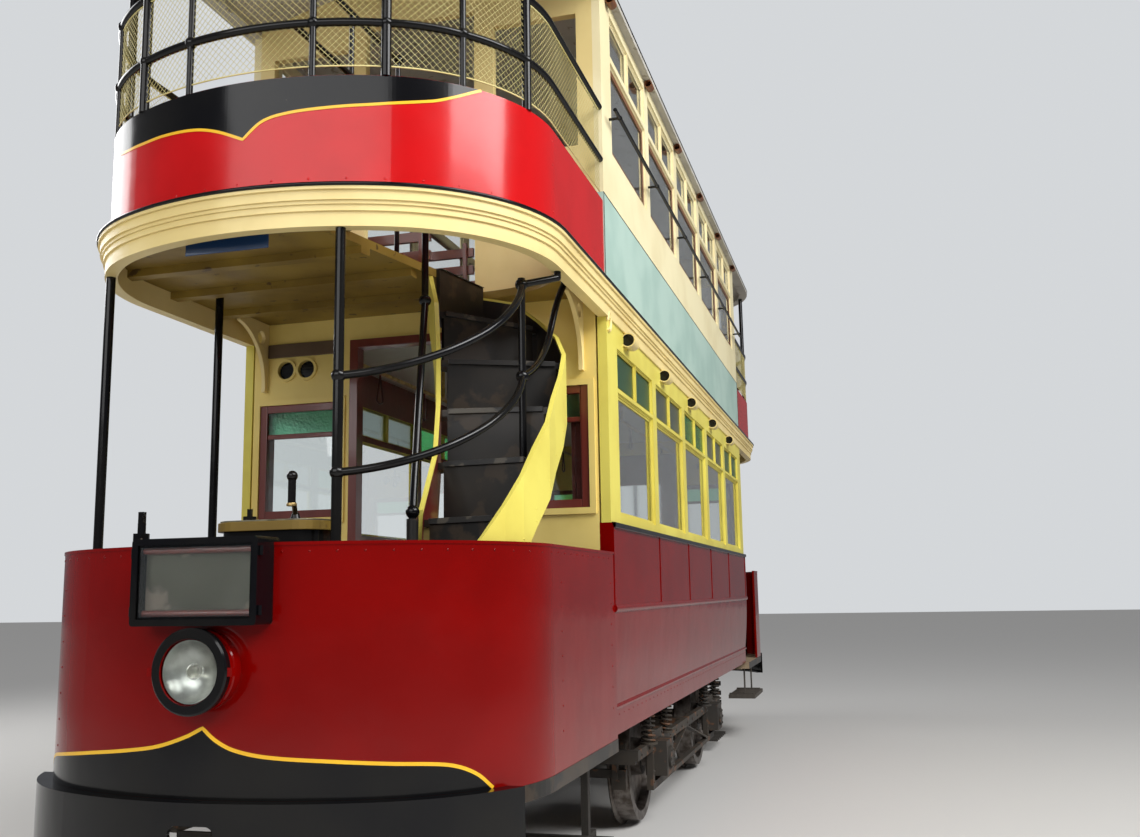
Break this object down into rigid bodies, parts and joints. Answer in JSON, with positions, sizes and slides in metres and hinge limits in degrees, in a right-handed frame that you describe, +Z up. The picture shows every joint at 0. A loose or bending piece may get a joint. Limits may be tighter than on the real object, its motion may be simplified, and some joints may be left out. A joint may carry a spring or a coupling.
{
  "type": "double-deck balcony tram",
  "caption": "Double-deck electric tram on a four-wheel truck, with open balconies, winding stairs, round-ended platforms and a roof trolley pole.",
  "frame": {"origin": "middle of the car in plan, at the height of the wheel flanges' lowest points", "axes": "+Z up, +Y along the car towards its rear, +X to the right-hand side seen from in front"},
  "size_m": [2.26, 9.78, 5.7154],
  "materials": {
    "red_paint": "deep glossy coach red",
    "cream_paint": "glossy cream",
    "black_paint": "glossy black",
    "green_paint": "satin green, bare",
    "maroon_wood": "varnished maroon wood",
    "floor_wood": "worn boards",
    "roof_paint": "matt grey canvas paint",
    "window_glass": "clear glass",
    "iron": "dull black iron",
    "wheel_steel": "worn steel"
  },
  "bodies": {
    "root": {"axle_boxes": "iron", "balcony_panel_front": "red_paint", "balcony_panel_rear": "red_paint", "balcony_rails_front": "black_paint", "balcony_rails_rear": "black_paint", "benches": "maroon_wood", "brake_gear": "iron", "bumpers": "black_paint", "canopy_brackets": "cream_paint", "canopy_floor_front": "cream_paint", "canopy_floor_rear": "cream_paint", "canopy_moulding": "cream_paint", "controllers": "black_paint", "dash_front": "red_paint", "dash_rear": "red_paint", "entrance_steps": "floor_wood", "front_glass": "window_glass", "guard_rails": "black_paint", "handbrakes": "black_paint", "headlamps": "black_paint", "indicator_boxes": "black_paint", "lifeguards": "floor_wood", "lower_bulkhead_front": "cream_paint", "lower_bulkhead_rear": "cream_paint", "lower_glass": "window_glass", "motors": "iron", "platform_floor_front": "floor_wood", "platform_floor_rear": "floor_wood", "platform_pillars": "black_paint", "roof": "roof_paint", "saloon_floor": "floor_wood", "side_panel_left": "red_paint", "side_panel_right": "red_paint", "springs": "iron", "stair_rails_front": "black_paint", "stair_rails_rear": "black_paint", "stair_strings_front": "cream_paint", "stair_strings_rear": "cream_paint", "stair_treads_front": "black_paint", "stair_treads_rear": "black_paint", "trolley_base": "floor_wood", "truck_frame": "iron", "underframe": "iron", "upper_bulkhead_front": "cream_paint", "upper_bulkhead_rear": "cream_paint", "upper_floor": "floor_wood", "upper_frame_left": "cream_paint", "upper_frame_right": "cream_paint", "upper_glass": "window_glass", "upper_panels": "green_paint", "upper_seats": "maroon_wood", "ventilators": "cream_paint", "window_frame_left": "cream_paint", "window_frame_right": "cream_paint"},
    "front_wheels": {"wheelset_front": "wheel_steel"},
    "rear_wheels": {"wheelset_rear": "wheel_steel"},
    "front_door": {"saloon_door_front": "maroon_wood"},
    "rear_door": {"saloon_door_rear": "maroon_wood"},
    "trolley_swivel": {"trolley_mast": "iron"},
    "trolley_arm": {"trolley_pole": "wheel_steel"}
  },
  "joints": [
    {"name": "front_axle_spin", "type": "hinge", "parent": "root", "child": "front_wheels", "pos_m": [0, -1.15, 0.415], "axis": [1, 0, 0], "continuous": true},
    {"name": "rear_axle_spin", "type": "hinge", "parent": "root", "child": "rear_wheels", "pos_m": [0, 1.15, 0.415], "axis": [1, 0, 0], "continuous": true},
    {"name": "front_door_slide", "type": "slide", "parent": "root", "child": "front_door", "axis": [-1, 0, 0], "range_m": [0, 0.6]},
    {"name": "rear_door_slide", "type": "slide", "parent": "root", "child": "rear_door", "axis": [-1, 0, 0], "range_m": [0, 0.6]},
    {"name": "trolley_swing", "type": "hinge", "parent": "root", "child": "trolley_swivel", "pos_m": [0, 0, 5.06], "axis": [0, 0, 1], "continuous": true},
    {"name": "trolley_lift", "type": "hinge", "parent": "trolley_swivel", "child": "trolley_arm", "pos_m": [0, 0, 5.22], "axis": [1, 0, 0], "range_deg": [0, 45]}
  ]
}
